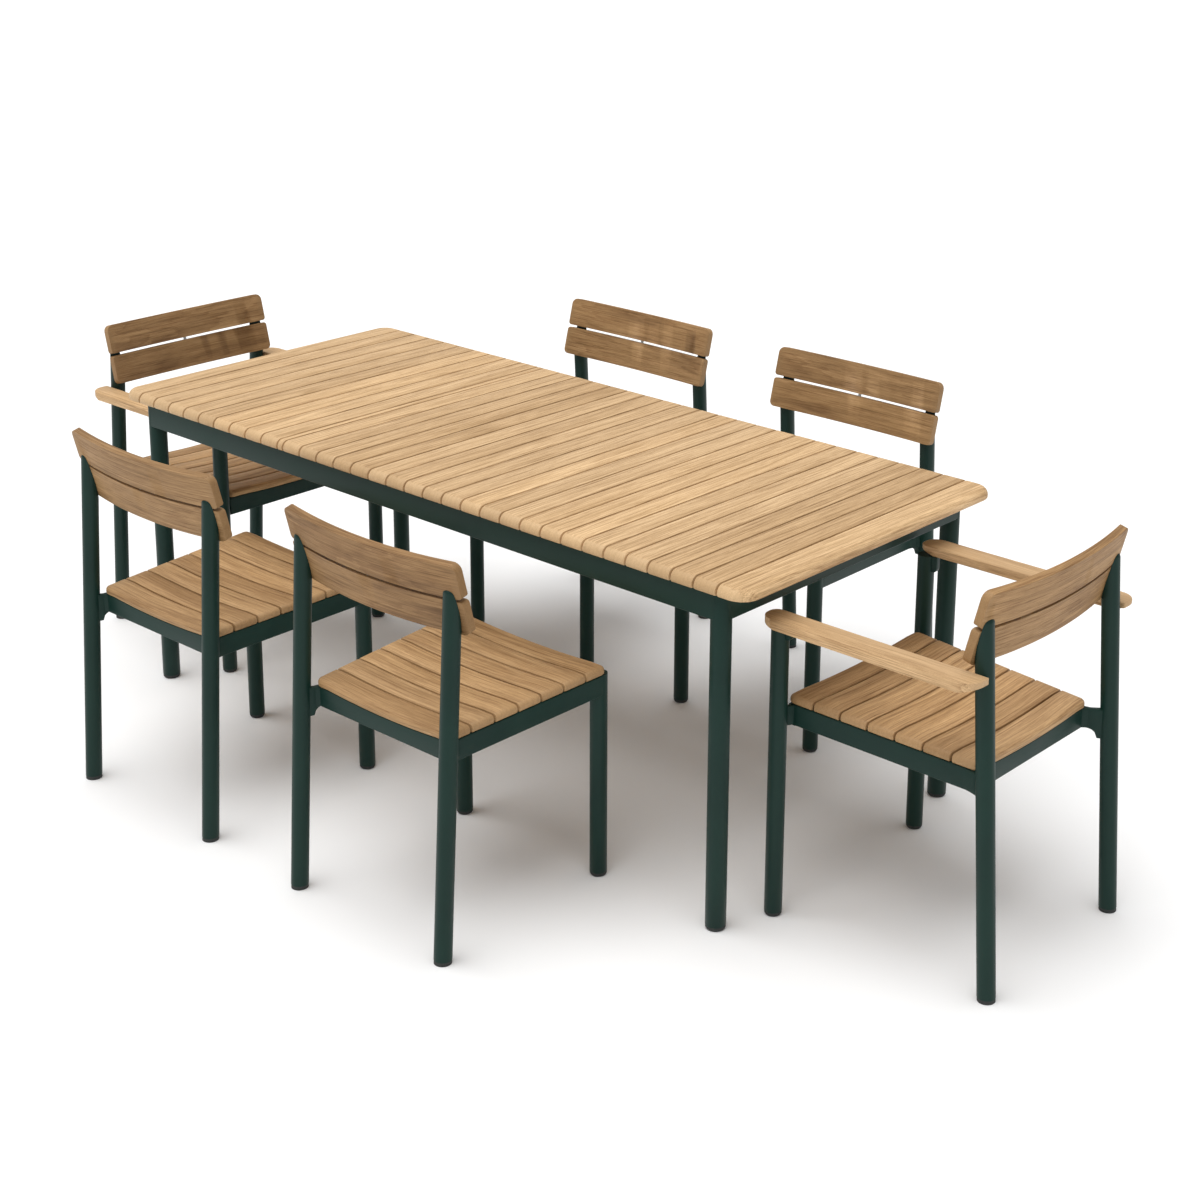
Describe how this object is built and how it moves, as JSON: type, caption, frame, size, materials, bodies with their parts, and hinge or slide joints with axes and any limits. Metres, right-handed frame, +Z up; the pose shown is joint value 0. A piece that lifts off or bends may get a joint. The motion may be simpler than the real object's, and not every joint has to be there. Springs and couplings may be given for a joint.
{
  "type": "patio dining set",
  "caption": "Slatted wooden patio dining table on a tubular metal frame, with side chairs along its long sides and an armchair at each end",
  "frame": {"origin": "on the floor, under the centre of the whole set's footprint (table and chairs as laid out)", "axes": "X along the table's length with the further pulled-out armchair at +X, Y across the table to the far chairs, Z up"},
  "size_m": [2.754, 1.6702, 0.8077],
  "materials": {
    "tabletop_wood": "oiled",
    "seat_wood": "oiled",
    "back_wood": "oiled",
    "arm_wood": "oiled",
    "frame_paint": "satin powder coat",
    "fixings": "satin",
    "feet": "matte"
  },
  "bodies": {
    "table": {"table_left_slats": "tabletop_wood", "table_middle_slats": "tabletop_wood", "table_right_slats": "tabletop_wood", "table_filler_strip": "tabletop_wood", "table_battens": "frame_paint", "table_long_rails": "frame_paint", "table_end_rails": "frame_paint", "table_cross_bars": "frame_paint", "table_legs": "frame_paint", "table_corner_brackets": "frame_paint", "table_bracket_bolts": "fixings", "table_slat_screws": "fixings", "table_feet": "feet"},
    "near_left_chair": {"near_left_chair_seat_slats": "seat_wood", "near_left_chair_back_slats": "back_wood", "near_left_chair_seat_rails": "frame_paint", "near_left_chair_rear_legs": "frame_paint", "near_left_chair_front_legs": "frame_paint", "near_left_chair_feet": "feet", "near_left_chair_fixings": "fixings"},
    "near_right_chair": {"near_right_chair_seat_slats": "seat_wood", "near_right_chair_back_slats": "back_wood", "near_right_chair_seat_rails": "frame_paint", "near_right_chair_rear_legs": "frame_paint", "near_right_chair_front_legs": "frame_paint", "near_right_chair_feet": "feet", "near_right_chair_fixings": "fixings"},
    "far_left_chair": {"far_left_chair_seat_slats": "seat_wood", "far_left_chair_back_slats": "back_wood", "far_left_chair_seat_rails": "frame_paint", "far_left_chair_rear_legs": "frame_paint", "far_left_chair_front_legs": "frame_paint", "far_left_chair_feet": "feet", "far_left_chair_fixings": "fixings"},
    "far_right_chair": {"far_right_chair_seat_slats": "seat_wood", "far_right_chair_back_slats": "back_wood", "far_right_chair_seat_rails": "frame_paint", "far_right_chair_rear_legs": "frame_paint", "far_right_chair_front_legs": "frame_paint", "far_right_chair_feet": "feet", "far_right_chair_fixings": "fixings"},
    "left_end_armchair": {"left_end_armchair_seat_slats": "seat_wood", "left_end_armchair_back_slats": "back_wood", "left_end_armchair_seat_rails": "frame_paint", "left_end_armchair_rear_legs": "frame_paint", "left_end_armchair_front_legs": "frame_paint", "left_end_armchair_feet": "feet", "left_end_armchair_fixings": "fixings", "left_end_armchair_armrests": "arm_wood"},
    "right_end_armchair": {"right_end_armchair_seat_slats": "seat_wood", "right_end_armchair_back_slats": "back_wood", "right_end_armchair_seat_rails": "frame_paint", "right_end_armchair_rear_legs": "frame_paint", "right_end_armchair_front_legs": "frame_paint", "right_end_armchair_feet": "feet", "right_end_armchair_fixings": "fixings", "right_end_armchair_armrests": "arm_wood"}
  },
  "joints": [
    {"name": "near_left_chair_slide", "type": "slide", "parent": "table", "child": "near_left_chair", "axis": [0, -1, 0], "range_m": [-0.2, 0.45]},
    {"name": "near_right_chair_slide", "type": "slide", "parent": "table", "child": "near_right_chair", "axis": [0, -1, 0], "range_m": [-0.2, 0.45]},
    {"name": "far_left_chair_slide", "type": "slide", "parent": "table", "child": "far_left_chair", "axis": [0, 1, 0], "range_m": [-0.2, 0.45]},
    {"name": "far_right_chair_slide", "type": "slide", "parent": "table", "child": "far_right_chair", "axis": [0, 1, 0], "range_m": [-0.2, 0.45]},
    {"name": "left_end_armchair_slide", "type": "slide", "parent": "table", "child": "left_end_armchair", "axis": [-1, 0, 0], "range_m": [-0.016, 0.45]},
    {"name": "right_end_armchair_slide", "type": "slide", "parent": "table", "child": "right_end_armchair", "axis": [1, 0, 0], "range_m": [-0.145, 0.45]}
  ]
}
